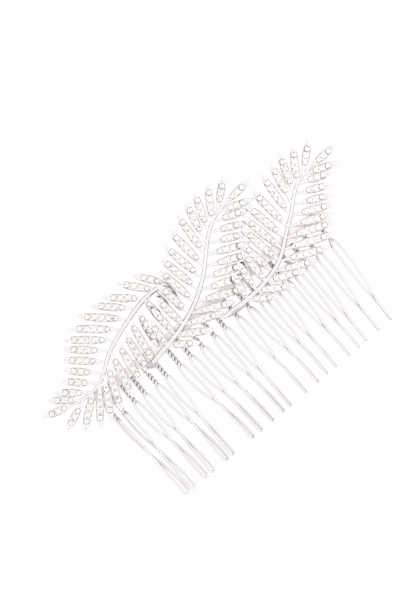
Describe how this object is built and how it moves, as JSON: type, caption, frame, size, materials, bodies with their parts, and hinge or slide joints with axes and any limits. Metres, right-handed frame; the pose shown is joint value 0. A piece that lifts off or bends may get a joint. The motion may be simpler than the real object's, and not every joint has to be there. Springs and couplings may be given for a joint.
{
  "type": "decorative hair comb",
  "caption": "Silver bridal hair comb with twisted wire tines and crystal-set fern fronds along its bar.",
  "frame": {"origin": "middle of the bounding box's underside, with the comb lying on its back", "axes": "+X along the bar, +Y from the tine tips towards the fronds, +Z out of the decorated front"},
  "size_m": [0.1202, 0.0694, 0.0076],
  "materials": {
    "plated_metal": "polished",
    "plated_wire": "polished",
    "solder": "satin",
    "crystal": "cut and polished"
  },
  "bodies": {
    "root": {"comb_bar": "plated_metal", "tine_01": "plated_wire", "tine_02": "plated_wire", "tine_03": "plated_wire", "tine_04": "plated_wire", "tine_05": "plated_wire", "tine_06": "plated_wire", "tine_07": "plated_wire", "tine_08": "plated_wire", "tine_09": "plated_wire", "tine_10": "plated_wire", "tine_11": "plated_wire", "tine_12": "plated_wire", "tine_13": "plated_wire", "tine_14": "plated_wire", "tine_15": "plated_wire", "tine_16": "plated_wire", "tine_17": "plated_wire", "tine_18": "plated_wire", "tine_19": "plated_wire", "tine_20": "plated_wire", "tine_solder": "solder", "frond_left": "plated_metal", "crystals_left_large": "crystal", "crystals_left_small": "crystal", "frond_middle": "plated_metal", "crystals_middle_large": "crystal", "crystals_middle_small": "crystal", "frond_right": "plated_metal", "crystals_right_large": "crystal", "crystals_right_small": "crystal", "frond_solder": "solder"}
  },
  "joints": []
}
